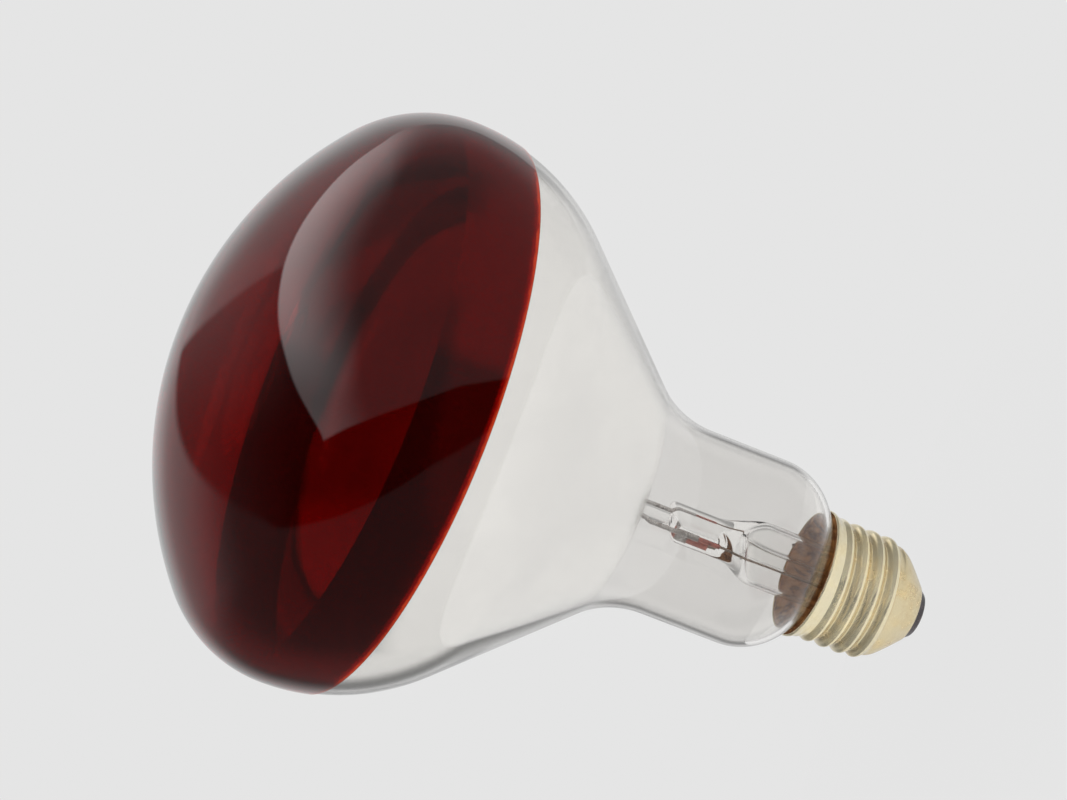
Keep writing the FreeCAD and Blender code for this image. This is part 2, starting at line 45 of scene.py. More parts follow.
# Envelope
WALL = 0.95
SEAT_R, SEAL_Z = 10.75, 19.36
SEAT = (15.2, 22.33)
SEAT_FILLET = 4.45
SHOULDER_ANGLE = 47.0
SHOULDER_RADIUS = 13.55
NECK_R, NECK_LENGTH, NECK_FILLET = 20.135, 17.52, 22.65
CONE_ANGLE = 41.4
BULB_R, BACK_RADIUS = 60.5, 43.95
CORNER_RADIUS, FRONT_RADIUS = 26.5, 77.7


def swing(centre, radius, degrees):
    angle = math.radians(degrees)
    return (centre[0] + radius * math.cos(angle), centre[1] + radius * math.sin(angle))


FLANK_FOOT = swing(SEAT, SEAT_FILLET, 180 - SHOULDER_ANGLE)
SHOULDER_R = NECK_R - SHOULDER_RADIUS
FLANK_HEAD_R = SHOULDER_R + SHOULDER_RADIUS * math.cos(math.radians(SHOULDER_ANGLE))
FLANK_SLOPE = math.tan(math.radians(SHOULDER_ANGLE))
FLANK_HEAD_Z = FLANK_FOOT[1] + (FLANK_HEAD_R - FLANK_FOOT[0]) / FLANK_SLOPE
SHOULDER = (SHOULDER_R, FLANK_HEAD_Z + SHOULDER_RADIUS * math.sin(math.radians(SHOULDER_ANGLE)))
NECK_TOP = SHOULDER[1] + NECK_LENGTH
FILLET = (NECK_R + NECK_FILLET, NECK_TOP)
CONE_FOOT = swing(FILLET, NECK_FILLET, 180 - CONE_ANGLE)
CONE_HEAD_R = BULB_R - BACK_RADIUS * (1 - math.cos(math.radians(CONE_ANGLE)))
CONE_HEAD_Z = CONE_FOOT[1] + (CONE_HEAD_R - CONE_FOOT[0]) / math.tan(math.radians(CONE_ANGLE))
WIDEST_Z = CONE_HEAD_Z + BACK_RADIUS * math.sin(math.radians(CONE_ANGLE))
BACK = (BULB_R - BACK_RADIUS, WIDEST_Z)
CORNER = (BULB_R - CORNER_RADIUS, WIDEST_Z)
CORNER_END = math.degrees(math.acos(CORNER[0] / (FRONT_RADIUS - CORNER_RADIUS)))
FRONT = (0.0, WIDEST_Z - math.sqrt((FRONT_RADIUS - CORNER_RADIUS) ** 2 - CORNER[0] ** 2))

# Coats
COAT_FIT, RED_COAT, MIRROR_FILM = 0.06, 0.2, 0.1
RED_EDGE_BELOW_WIDEST = 9.2
RED_EDGE_Z = WIDEST_Z - RED_EDGE_BELOW_WIDEST
RED_EDGE = -math.degrees(math.asin(RED_EDGE_BELOW_WIDEST / BACK_RADIUS))
MIRROR_SET_BACK = 0.6
# The film runs on behind the red front, where it is painted lighter on one side, a painted
# reflection, and near black on the other, painted shade.
BRIGHT_EDGE_Z = RED_EDGE_Z + 1.0
FILM_EDGE = 14.5
PAINTED_LIGHT_SIDE = math.radians(-60)

# Screw cap
PITCH, ROOT_R, ARC = 3.629, 12.13, 1.025
THREAD_TOP, THREAD_LOW = 23.46, 9.6
SKIRT_LOW, CAP_RIM = 24.5, 26.1
SHELL_WALL, SHELL_CORNER = 0.32, 1.2
SHELL_END, SHELL_END_R = 2.23, 6.5
RIM_LIP, LIP_LOW, LIP_RUN = 0.6, 24.1, 1.6

# Stem
STEM_R, STEM_BORE, STEM_TOP = 6.8, 5.8, 41.14
PRESS_LOW, PRESS_FULL, PRESS_TOP = 37.1, 46.98, 58.18
PRESS_HALF_WIDTH, PRESS_HALF_THICKNESS, PRESS_ROUND = 7.05, 2.225, 1.4
FLARE, FLARE_RADIUS, FLARE_RIM = (10.8, 23.233), 4.0, 1.0
BORE_ROUND = 5.0
EXHAUST_R, EXHAUST_BORE, EXHAUST_TIP, EXHAUST_ROUND_Z = 2.05, 1.35, 13.94, 15.99
EXHAUST_TOP = STEM_TOP - 0.05
ROD_R, ROD_TOP = 1.4, 91.6
BUTTON_FOOT, BUTTON, BUTTON_TOP = (2.1, 92.6), (0.8, 94.5), 96.7
FILAMENT_Z = 95.7


def outline_from(r, z):
    """A new outline in the plane of the lamp axis, with its first point."""
    bm = bmesh.new()
    return bm, bm.verts.new((r * MM, 0, z * MM))


def run(bm, tip, r, z, steps=1):
    """Draws the outline on in a straight line."""
    first = tip.co.copy()
    last = Vector((r * MM, 0, z * MM))
    for step in range(steps):
        tip = bmesh.ops.extrude_vert_indiv(bm, verts=[tip])["verts"][0]
        tip.co = first.lerp(last, (step + 1) / steps)
    return tip


def bend(bm, tip, centre, degrees, steps):
    """Draws the outline on round a centre, rising away from the axis for a positive turn."""
    grown = bmesh.ops.spin(
        bm,
        geom=[tip],
        cent=(centre[0] * MM, 0, centre[1] * MM),
        axis=(0, -1, 0),
        angle=math.radians(degrees),
        steps=steps,
    )
    return [v for v in grown["geom_last"] if isinstance(v, bmesh.types.BMVert)][0]


def turn_outline(bm, steps=STEPS):
    """Spins the outline into a closed turned piece."""
    for vert in bm.verts:
        if abs(vert.co.x) < 1e-6:
            vert.co.x = 0
    bmesh.ops.spin(
        bm,
        geom=bm.verts[:] + bm.edges[:],
        cent=(0, 0, 0),
        axis=(0, 0, 1),
        angle=TURN,
        steps=steps,
        use_merge=True,
    )
    bmesh.ops.remove_doubles(bm, verts=bm.verts[:], dist=2e-7)
    bmesh.ops.recalc_face_normals(bm, faces=bm.faces[:])


def piece(name, bm, finish, slot, *nodes, crease=35):
    """Makes the mesh a piece of the lamp that stands for its CAD nodes."""
    mesh = bpy.data.meshes.new(name)
    bm.to_mesh(mesh)
    bm.free()
    mesh.shade_smooth()
    mesh.set_sharp_from_angle(angle=math.radians(crease))
    mesh.materials.append(finish)
    made = bpy.data.objects.new(name, mesh)
    bpy.context.scene.collection.objects.link(made)
    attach(made, "root")
    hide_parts(*nodes)
    return made


def front_outline(bm, tip, first):
    tip = bend(bm, tip, BACK, -first, 20)
    tip = bend(bm, tip, CORNER, CORNER_END, 24)
    return bend(bm, tip, FRONT, 90 - CORNER_END, 40)


def glass_outline(bm, tip, depth):
    """Draws one face of the glass from the seat to the middle of the front."""
    tip = run(bm, tip, *swing(SEAT, SEAT_FILLET + depth, 180), steps=3)
    tip = bend(bm, tip, SEAT, -SHOULDER_ANGLE, 10)
    tip = run(bm, tip, *swing(SHOULDER, SHOULDER_RADIUS - depth, -SHOULDER_ANGLE), steps=2)
    tip = bend(bm, tip, SHOULDER, SHOULDER_ANGLE, 12)
    tip = run(bm, tip, *swing(FILLET, NECK_FILLET + depth, 180), steps=6)
    tip = bend(bm, tip, FILLET, -CONE_ANGLE, 14)
    tip = run(bm, tip, *swing(BACK, BACK_RADIUS - depth, -CONE_ANGLE), steps=8)
    return front_outline(bm, tip, -CONE_ANGLE)


# Surface effects that several finishes share


def plug(tree, kind, **settings):
    node = tree.nodes.new(kind)
    for name, value in settings.items():
        setattr(node, name, value)
    return node


def noise_on(tree, place, scale, detail=4.0, roughness=0.55, distortion=0.0):
    node = plug(tree, "ShaderNodeTexNoise")
    node.inputs["Scale"].default_value = scale
    node.inputs["Detail"].default_value = detail
    node.inputs["Roughness"].default_value = roughness
    node.inputs["Distortion"].default_value = distortion
    tree.links.new(place, node.inputs["Vector"])
    return node.outputs["Fac"]


def remap(tree, value, low, high, to_low=0.0, to_high=1.0, smooth=True):
    node = plug(tree, "ShaderNodeMapRange", interpolation_type="SMOOTHSTEP" if smooth else "LINEAR")
    tree.links.new(value, node.inputs["Value"])
    node.inputs["From Min"].default_value = low
    node.inputs["From Max"].default_value = high
    node.inputs["To Min"].default_value = to_low
    node.inputs["To Max"].default_value = to_high
    return node.outputs["Result"]


def sum_of(tree, operation, first, second):
    node = plug(tree, "ShaderNodeMath", operation=operation)
    for socket, value in zip(node.inputs, (first, second)):
        if isinstance(value, (int, float)):
            socket.default_value = value
        else:
            tree.links.new(value, socket)
    return node.outputs["Value"]


def blend_colour(tree, mask, first, second):
    node = plug(tree, "ShaderNodeMix", data_type="RGBA")
    tree.links.new(mask, node.inputs["Factor"])
    for socket, value in ((node.inputs[6], first), (node.inputs[7], second)):
        if isinstance(value, tuple):
            socket.default_value = value + (1.0,)
        else:
            tree.links.new(value, socket)
    return node.outputs[2]


def new_group(name, sockets_in, sockets_out):
    group = bpy.data.node_groups.new(name, "ShaderNodeTree")
    group.interface.new_socket("Place", in_out="INPUT", socket_type="NodeSocketVector")
    for title, value in sockets_in.items():
        socket = group.interface.new_socket(title, in_out="INPUT", socket_type="NodeSocketFloat")
        socket.default_value = value
    for title in sockets_out:
        group.interface.new_socket(title, in_out="OUTPUT", socket_type="NodeSocketFloat")
    entry = group.nodes.new("NodeGroupInput")
    leave = group.nodes.new("NodeGroupOutput")
    return group, entry.outputs, leave.inputs


def blown_glass_group():
    """Slow waves of blown glass, and a thin film of handling marks."""
    group, given, result = new_group("blown_glass", {"Wave Scale": 24.0}, ("Wave", "Film"))
    wave = plug(group, "ShaderNodeTexNoise")
    wave.inputs["Detail"].default_value = 1.5
    wave.inputs["Roughness"].default_value = 0.4
    group.links.new(given["Place"], wave.inputs["Vector"])
    group.links.new(given["Wave Scale"], wave.inputs["Scale"])
    group.links.new(wave.outputs["Fac"], result["Wave"])
    patch = noise_on(group, given["Place"], 55.0, 5.0, 0.6, 0.6)
    fine = noise_on(group, given["Place"], 900.0, 3.0, 0.6)
    marked = remap(group, patch, 0.5, 0.78)
    film = sum_of(group, "MULTIPLY", marked, remap(group, fine, 0.35, 0.7))
    group.links.new(film, result["Film"])
    return group


def worn_metal_group():
    """Tarnish in soft clouds, fine handling scratches and small specks."""
    results = ("Tarnish", "Scratch", "Speck")
    group, given, result = new_group("worn_metal", {"Cloud Scale": 160.0}, results)
    cloud = plug(group, "ShaderNodeTexNoise")
    cloud.inputs["Detail"].default_value = 5.0
    cloud.inputs["Roughness"].default_value = 0.62
    group.links.new(given["Place"], cloud.inputs["Vector"])
    group.links.new(given["Cloud Scale"], cloud.inputs["Scale"])
    group.links.new(remap(group, cloud.outputs["Fac"], 0.42, 0.72), result["Tarnish"])
    stretch = plug(group, "ShaderNodeMapping")
    stretch.inputs["Scale"].default_value = (1.0, 1.0, 14.0)
    group.links.new(given["Place"], stretch.inputs["Vector"])
    lines = noise_on(group, stretch.outputs["Vector"], 420.0, 3.0, 0.7)
    group.links.new(remap(group, lines, 0.55, 0.8), result["Scratch"])
    specks = noise_on(group, given["Place"], 2300.0, 2.0, 0.5)
    group.links.new(remap(group, specks, 0.62, 0.74), result["Speck"])
    return group


BLOWN = blown_glass_group()
WORN = worn_metal_group()


def new_finish(name):
    finish = bpy.data.materials.new(name)
    finish.use_nodes = True
    tree = finish.node_tree
    place = plug(tree, "ShaderNodeTexCoord").outputs["Object"]
    return finish, tree, tree.nodes["Principled BSDF"], place


def effect(tree, group, place, **values):
    node = plug(tree, "ShaderNodeGroup", node_tree=group)
    tree.links.new(place, node.inputs["Place"])
    for name, value in values.items():
        node.inputs[name.replace("_", " ")].default_value = value
    return node.outputs


def facing_on(tree, low, high):
    """Mask that grows where the surface turns away from the ray."""
    node = plug(tree, "ShaderNodeLayerWeight")
    node.inputs["Blend"].default_value = 0.5
    return remap(tree, node.outputs["Facing"], low, high)


def height_on(tree, place):
    node = plug(tree, "ShaderNodeSeparateXYZ")
    tree.links.new(place, node.inputs["Vector"])
    return node.outputs["Z"]


def raise_by(tree, shader, height, strength, distance):
    node = plug(tree, "ShaderNodeBump")
    node.inputs["Strength"].default_value = strength
    node.inputs["Distance"].default_value = distance
    tree.links.new(height, node.inputs["Height"])
    tree.links.new(node.outputs["Normal"], shader.inputs["Normal"])


def glass_finish(name, colour, edge, bend_index, wave_scale, wave, film_roughness):
    finish, tree, shader, place = new_finish(name)
    # The second colour darkens the glass where it turns edge-on: painted shade for its dark
    # outlines.
    tint_and_painted_edge_shade = blend_colour(tree, facing_on(tree, 0.68, 0.98), colour, edge)
    tree.links.new(tint_and_painted_edge_shade, shader.inputs["Base Color"])
    shader.inputs["Transmission Weight"].default_value = 1.0
    shader.inputs["IOR"].default_value = bend_index
    marks = effect(tree, BLOWN, place, Wave_Scale=wave_scale)
    rough = remap(tree, marks["Film"], 0.0, 1.0, 0.0, film_roughness, smooth=False)
    tree.links.new(rough, shader.inputs["Roughness"])
    raise_by(tree, shader, marks["Wave"], 1.0, wave)
    return finish


def red_lacquer():
    finish, tree, shader, place = new_finish("red_lacquer")
    shader.inputs["Transmission Weight"].default_value = 1.0
    shader.inputs["IOR"].default_value = 1.5
    deep, light, oblique = (0.33, 0.007, 0.004), (0.37, 0.009, 0.005), (0.2, 0.003, 0.002)
    edge_colour = (0.64, 0.06, 0.016)
    edge_low, edge_high = (RED_EDGE_Z + 0.2) * MM, (RED_EDGE_Z + 0.75) * MM
    height = height_on(tree, place)
    flow = remap(tree, noise_on(tree, place, 34.0, 3.0, 0.5), 0.35, 0.65)
    body = blend_colour(tree, flow, light, deep)
    body = blend_colour(tree, facing_on(tree, 0.35, 0.85), body, oblique)
    uneven = noise_on(tree, place, 260.0, 2.0)
    wander = remap(tree, uneven, 0.3, 0.7, -0.00025, 0.00025, smooth=False)
    level = sum_of(tree, "ADD", height, wander)
    edge = remap(tree, level, edge_low, edge_high, 1.0, 0.0)
    tree.links.new(blend_colour(tree, edge, body, edge_colour), shader.inputs["Base Color"])
    marks = effect(tree, BLOWN, place, Wave_Scale=26.0)
    rough = remap(tree, marks["Film"], 0.0, 1.0, 0.0, 0.05, smooth=False)
    tree.links.new(rough, shader.inputs["Roughness"])
    raise_by(tree, shader, marks["Wave"], 1.0, 0.00035)
    return finish


def mirror_film():
    """Bright film, thinned out at the neck; behind the red front it is painted lighter on one side
    as a painted reflection and dark on the other as painted shade.
    """
    finish, tree, shader, place = new_finish("mirror_film")
    shader.inputs["Metallic"].default_value = 1.0
    full, clouded = (0.97, 0.97, 0.96), (0.92, 0.92, 0.915)
    painted_lit_side, dull = (0.6, 0.6, 0.59), (0.1, 0.095, 0.09)
    cloud = noise_on(tree, place, 38.0, 4.0, 0.55)
    height = height_on(tree, place)
    bright = blend_colour(tree, remap(tree, cloud, 0.35, 0.7), full, clouded)
    across = plug(tree, "ShaderNodeVectorMath", operation="DOT_PRODUCT")
    across.inputs[1].default_value = (math.cos(PAINTED_LIGHT_SIDE), math.sin(PAINTED_LIGHT_SIDE), 0)
    tree.links.new(place, across.inputs[0])
    behind_red = remap(tree, height, BRIGHT_EDGE_Z * MM, (BRIGHT_EDGE_Z + 0.6) * MM)
    # Painted light and shade: behind the red front one side of the film is painted lighter and the
    # other near black.
    painted_light_and_shade = blend_colour(tree, remap(tree, across.outputs["Value"], 0.008, 0.013), dull, painted_lit_side)
    tree.links.new(blend_colour(tree, behind_red, bright, painted_light_and_shade), shader.inputs["Base Color"])
    marks = effect(tree, BLOWN, place, Wave_Scale=20.0)
    rough = remap(tree, marks["Film"], 0.0, 1.0, 0.07, 0.14, smooth=False)
    tree.links.new(rough, shader.inputs["Roughness"])
    raise_by(tree, shader, marks["Wave"], 1.0, 0.0002)
    uneven = noise_on(tree, place, 160.0, 4.0, 0.6)
    ragged = remap(tree, uneven, 0.3, 0.7, -0.0006, 0.0006, smooth=False)
    level = sum_of(tree, "ADD", height, ragged)
    cover = remap(tree, level, CONE_FOOT[1] * MM, (CONE_FOOT[1] + 3.2) * MM)
    tree.links.new(cover, shader.inputs["Alpha"])
    return finish


def metal_finish(name, bright, dull, rough_low, rough_high, cloud_scale, bump=0.00001):
    finish, tree, shader, place = new_finish(name)
    shader.inputs["Metallic"].default_value = 1.0
    marks = effect(tree, WORN, place, Cloud_Scale=cloud_scale)
    colour = blend_colour(tree, marks["Tarnish"], bright, dull)
    tree.links.new(colour, shader.inputs["Base Color"])
    wear = sum_of(tree, "MAXIMUM", marks["Tarnish"], marks["Scratch"])
    rough = remap(tree, wear, 0.0, 1.0, rough_low, rough_high, smooth=False)
    tree.links.new(rough, shader.inputs["Roughness"])
    height = sum_of(tree, "SUBTRACT", marks["Speck"], marks["Scratch"])
    raise_by(tree, shader, height, 0.5, bump)
    return finish


def pale_brass():
    """Rolled brass: bright crests, a warmer film in the thread's roots and fine roll lines."""
    bright, dull, in_roots = (0.9, 0.81, 0.57), (0.83, 0.71, 0.44), (0.68, 0.54, 0.3)
    film_low, film_high = (ROOT_R + 0.1) * MM, (ROOT_R + 0.8) * MM
    finish, tree, shader, place = new_finish("pale_brass")
    marks = effect(tree, WORN, place, Cloud_Scale=210.0)
    metal = remap(tree, marks["Tarnish"], 0.0, 1.0, 0.88, 0.74, smooth=False)
    tree.links.new(metal, shader.inputs["Metallic"])
    axes = plug(tree, "ShaderNodeSeparateXYZ")
    tree.links.new(place, axes.inputs["Vector"])
    out = plug(tree, "ShaderNodeVectorMath", operation="LENGTH")
    flat = plug(tree, "ShaderNodeCombineXYZ")
    tree.links.new(axes.outputs["X"], flat.inputs["X"])
    tree.links.new(axes.outputs["Y"], flat.inputs["Y"])
    tree.links.new(flat.outputs["Vector"], out.inputs[0])
    root = remap(tree, out.outputs["Value"], film_low, film_high, 1.0, 0.0)
    uneven = remap(tree, marks["Tarnish"], 0.0, 1.0, 0.45, 1.0, smooth=False)
    film = sum_of(tree, "MULTIPLY", root, uneven)
    cloud = blend_colour(tree, marks["Tarnish"], bright, dull)
    tree.links.new(blend_colour(tree, film, cloud, in_roots), shader.inputs["Base Color"])
    wear = sum_of(tree, "MAXIMUM", marks["Scratch"], film)
    rough = remap(tree, wear, 0.0, 1.0, 0.13, 0.3, smooth=False)
    tree.links.new(rough, shader.inputs["Roughness"])
    height = sum_of(tree, "SUBTRACT", marks["Speck"], marks["Scratch"])
    raise_by(tree, shader, height, 0.1, 0.00001)
    return finish


def basing_cement():
    """Mottled brown cement. Its faint glow stands in for the light that the neck lets in."""
    light, dark, grains = (0.44, 0.2, 0.065), (0.1, 0.035, 0.013), (0.5, 0.34, 0.2)
    finish, tree, shader, place = new_finish("basing_cement")
    cloud = noise_on(tree, place, 330.0, 6.0, 0.65, 0.4)
    grain = noise_on(tree, place, 2600.0, 3.0, 0.6)
    warm = blend_colour(tree, remap(tree, cloud, 0.34, 0.66), light, dark)
    colour = blend_colour(tree, remap(tree, grain, 0.56, 0.72), warm, grains)
    tree.links.new(colour, shader.inputs["Base Color"])
    rough = remap(tree, grain, 0.3, 0.7, 0.6, 0.9, smooth=False)
    tree.links.new(rough, shader.inputs["Roughness"])
    tree.links.new(warm, shader.inputs["Emission Color"])
    shader.inputs["Emission Strength"].default_value = 0.3
    height = sum_of(tree, "ADD", cloud, grain)
    raise_by(tree, shader, height, 0.8, 0.00025)
    return finish


def dark_insulator():
    dark, light = (0.012, 0.01, 0.012), (0.035, 0.028, 0.03)
    finish, tree, shader, place = new_finish("dark_insulator")
    shader.inputs["IOR"].default_value = 1.52
    cloud = noise_on(tree, place, 420.0, 4.0, 0.55)
    colour = blend_colour(tree, remap(tree, cloud, 0.35, 0.7), dark, light)
    tree.links.new(colour, shader.inputs["Base Color"])
    fine = noise_on(tree, place, 1500.0, 3.0)
    rough = remap(tree, fine, 0.35, 0.7, 0.12, 0.3, smooth=False)
    tree.links.new(rough, shader.inputs["Roughness"])
    raise_by(tree, shader, cloud, 0.5, 0.0001)
    return finish


# Each glass's second colour is painted shade that darkens its outlines.
CLEAR = glass_finish(
    "clear_glass", (0.89, 0.88, 0.865), (0.12, 0.118, 0.11),
    bend_index=1.5, wave_scale=30.0, wave=0.00012, film_roughness=0.05,
)
# A low bend index keeps the outlines inside the stem thin.
STEM = glass_finish(
    "stem_glass", (0.97, 0.97, 0.965), (0.62, 0.61, 0.6),
    bend_index=1.22, wave_scale=70.0, wave=0.00006, film_roughness=0.06,
)
RED = red_lacquer()
MIRROR = mirror_film()
BRASS = pale_brass()
CEMENT = basing_cement()
INSULATOR = dark_insulator()
NICKEL = metal_finish("nickel_wire", (0.46, 0.44, 0.42), (0.26, 0.22, 0.2), 0.22, 0.4, 500.0)
SEAL = metal_finish("seal_wire", (0.5, 0.17, 0.13), (0.22, 0.09, 0.08), 0.3, 0.5, 900.0)
LEAD = metal_finish("lead_wire", (0.36, 0.28, 0.23), (0.2, 0.15, 0.12), 0.28, 0.5, 600.0)
TUNGSTEN = metal_finish("tungsten_wire", (0.36, 0.36, 0.38), (0.24, 0.24, 0.26), 0.3, 0.45, 700.0)
CONTACT = metal_finish("contact_brass", (0.8, 0.66, 0.4), (0.6, 0.46, 0.26), 0.24, 0.42, 320.0)
SOLDER = metal_finish("solder", (0.62, 0.62, 0.63), (0.4, 0.4, 0.41), 0.3, 0.55, 420.0, 0.00004)


# Envelope and its coats


def blown_envelope():
    bm, outer = outline_from(SEAT_R, SEAL_Z)
    inner = run(bm, outer, SEAT_R - WALL, SEAL_Z)
    glass_outline(bm, outer, 0)
    glass_outline(bm, inner, WALL)
    turn_outline(bm)
    piece("blown_envelope", bm, CLEAR, "clear_glass", "bulb_glass")


def red_front():
    bm, outer = outline_from(*swing(BACK, BACK_RADIUS + COAT_FIT + RED_COAT, RED_EDGE))
    inner = run(bm, outer, *swing(BACK, BACK_RADIUS + COAT_FIT, RED_EDGE))
    front_outline(bm, outer, RED_EDGE)
    front_outline(bm, inner, RED_EDGE)
    turn_outline(bm)
    piece("red_front", bm, RED, "red_lacquer", "red_front_coat")


def mirror_cone():
    lean = math.radians(CONE_ANGLE)
    depths = (WALL + COAT_FIT, WALL + COAT_FIT + MIRROR_FILM)
    feet = []
    for depth in depths:
        r, z = swing(FILLET, NECK_FILLET + depth, 180 - CONE_ANGLE)
        feet.append((r + math.sin(lean) * MIRROR_SET_BACK, z + math.cos(lean) * MIRROR_SET_BACK))
    bm, first = outline_from(*feet[0])
    ends = []
    for tip, depth in zip((first, run(bm, first, *feet[1])), depths):
        tip = run(bm, tip, *swing(BACK, BACK_RADIUS - depth, -CONE_ANGLE), steps=8)
        tip = bend(bm, tip, BACK, CONE_ANGLE, 20)
        ends.append(bend(bm, tip, CORNER, FILM_EDGE, 6))
    bmesh.ops.contextual_create(bm, geom=ends)
    turn_outline(bm)
    piece("mirror_cone", bm, MIRROR, "mirror_film", "mirror_coat")


# Stem


def ease(value):
    value = max(0.0, min(1.0, value))
    return value * value * (3 - 2 * value)


def press_shape(bm):
    """Flattens the top of the stem tube into the pressed seal."""
    for vert in bm.verts:
        z = vert.co.z / MM
        if z <= PRESS_LOW + 1e-4:
            continue
        reach = math.hypot(vert.co.x, vert.co.y) / MM
        if reach < 1e-6:
            continue
        share = reach / STEM_R
        c, s = vert.co.x / MM / reach, vert.co.y / MM / reach
        flat = ease((z - PRESS_LOW) / (PRESS_FULL - PRESS_LOW))
        slot_x = math.copysign(abs(c) ** 0.55, c) * PRESS_HALF_WIDTH
        slot_y = math.copysign(abs(s) ** 0.8, s) * PRESS_HALF_THICKNESS
        round_top = max(0.0, z - (PRESS_TOP - PRESS_ROUND)) / PRESS_ROUND
        draw_in = PRESS_ROUND * (1 - math.sqrt(max(0.0, 1 - round_top ** 2)))
        slot_x -= math.copysign(draw_in * abs(c), c)
        slot_y -= math.copysign(draw_in * abs(s), s)
        vert.co.x = MM * share * (STEM_R * c * (1 - flat) + slot_x * flat)
        vert.co.y = MM * share * (STEM_R * s * (1 - flat) + slot_y * flat)


def stem():
    drop = FLARE[1] - SEAL_Z
    inner_radius = FLARE_RADIUS + FLARE_RIM
    outer_low = math.degrees(math.asin(drop / FLARE_RADIUS))
    inner_low = math.degrees(math.asin((drop + FLARE_RIM) / inner_radius))
    bm, foot = outline_from(SEAT_R, SEAL_Z)
    hem = run(bm, foot, SEAT_R, SEAL_Z - FLARE_RIM)
    tip = run(bm, foot, *swing(FLARE, FLARE_RADIUS, 180 + outer_low))
    tip = bend(bm, tip, FLARE, -outer_low, 10)
    round_z = PRESS_TOP - PRESS_ROUND
    for z, steps in ((PRESS_LOW, 6), (PRESS_FULL, 24), (round_z, 6), (PRESS_TOP, 7)):
        tip = run(bm, tip, STEM_R, z, steps)
    run(bm, tip, 0, PRESS_TOP, steps=5)
    tip = run(bm, hem, *swing(FLARE, inner_radius, 180 + inner_low))
    tip = bend(bm, tip, FLARE, -inner_low, 10)
    tip = run(bm, tip, STEM_BORE, STEM_TOP - BORE_ROUND, steps=6)
    tip = bend(bm, tip, (STEM_BORE - BORE_ROUND, STEM_TOP - BORE_ROUND), 90, 14)
    run(bm, tip, 0, STEM_TOP)
    turn_outline(bm, 96)
    press_shape(bm)
    bmesh.ops.recalc_face_normals(bm, faces=bm.faces[:])
    piece("pressed_stem", bm, STEM, "stem_glass", "stem_glass", crease=50)


def exhaust():
    middle = (0, EXHAUST_ROUND_Z)
    bm, tip = outline_from(0, EXHAUST_TIP)
    tip = bend(bm, tip, middle, 90, 8)
    tip = run(bm, tip, EXHAUST_R, EXHAUST_TOP, steps=4)
    tip = run(bm, tip, EXHAUST_BORE, EXHAUST_TOP)
    tip = run(bm, tip, EXHAUST_BORE, EXHAUST_ROUND_Z, steps=4)
    bend(bm, tip, middle, -90, 8)
    turn_outline(bm, 48)
    piece("exhaust_pipe", bm, STEM, "stem_glass", "exhaust_tube")


def filament_support():
    bm, tip = outline_from(0, PRESS_TOP)
    tip = run(bm, tip, ROD_R, PRESS_TOP)
    tip = run(bm, tip, ROD_R, ROD_TOP, steps=6)
    tip = bend(bm, tip, (ROD_R + 0.6, ROD_TOP), -50, 4)
    tip = run(bm, tip, *BUTTON_FOOT)
    tip = bend(bm, tip, BUTTON, 112, 16)
    run(bm, tip, 0, BUTTON_TOP, steps=2)
    turn_outline(bm, 48)
    piece("filament_support", bm, STEM, "stem_glass", "support_rod", crease=50)


def coiled_filament():
    """A close coil of fine wire, bent round to an open ring over the hooks."""
    turns, steps_a_turn = 162, 14
    wire, coil, ring, span = 0.11, 0.74, 14.5, 290.0
    length = math.radians(span) * ring
    bm = bmesh.new()
    start = Matrix.Translation((0, 0, coil * MM)) @ Matrix.Rotation(math.radians(90), 4, "X")
    bmesh.ops.create_circle(bm, cap_ends=False, segments=6, radius=wire * MM, matrix=start)
    steps = turns * steps_a_turn
    bmesh.ops.spin(
        bm,
        geom=bm.verts[:] + bm.edges[:],
        cent=(0, 0, 0),
        axis=(1, 0, 0),
        dvec=(length / steps * MM, 0, 0),
        angle=TURN * turns,
        steps=steps,
    )
    bmesh.ops.holes_fill(bm, edges=bm.edges[:], sides=6)
    first = math.radians(-90 + (360 - span) / 2)
    for vert in bm.verts:
        angle = first + vert.co.x / (ring * MM)
        reach = ring * MM + vert.co.y
        z = FILAMENT_Z * MM + vert.co.z
        vert.co = Vector((reach * math.cos(angle), reach * math.sin(angle), z))
    bmesh.ops.recalc_face_normals(bm, faces=bm.faces[:])
    piece("coiled_filament", bm, TUNGSTEN, "tungsten_wire", "filament", crease=80)


# Cap


def thread_height(phase):
    phase -= math.floor(phase + 0.5)
    reach = abs(phase) * PITCH
    quarter = PITCH / 4
    rise = ARC - math.sqrt(ARC ** 2 - quarter ** 2)
    if reach <= quarter:
        return 2 * rise - ARC + math.sqrt(ARC ** 2 - reach ** 2)
    return ARC - math.sqrt(ARC ** 2 - (2 * quarter - reach) ** 2)


def shell_radius(turn, z, inset):
    past = z - (SHELL_END + ROOT_R - SHELL_END_R)
    corner = math.sqrt(past ** 2 + SHELL_CORNER ** 2)
    slope = (1 - past / corner) / 2
    core = ROOT_R + (past - corner) / 2 - inset * math.sqrt(1 + slope ** 2)
    ridge = thread_height((z - THREAD_TOP) / PITCH - turn)
    into_skirt = ease((z - SKIRT_LOW + PITCH) / PITCH)
    out_of_cone = ease((z - THREAD_LOW + PITCH / 2) / PITCH)
    ridge = ridge * out_of_cone * (1 - into_skirt) + thread_height(0) * into_skirt
    return core + ridge + RIM_LIP * ease((z - LIP_LOW) / LIP_RUN)


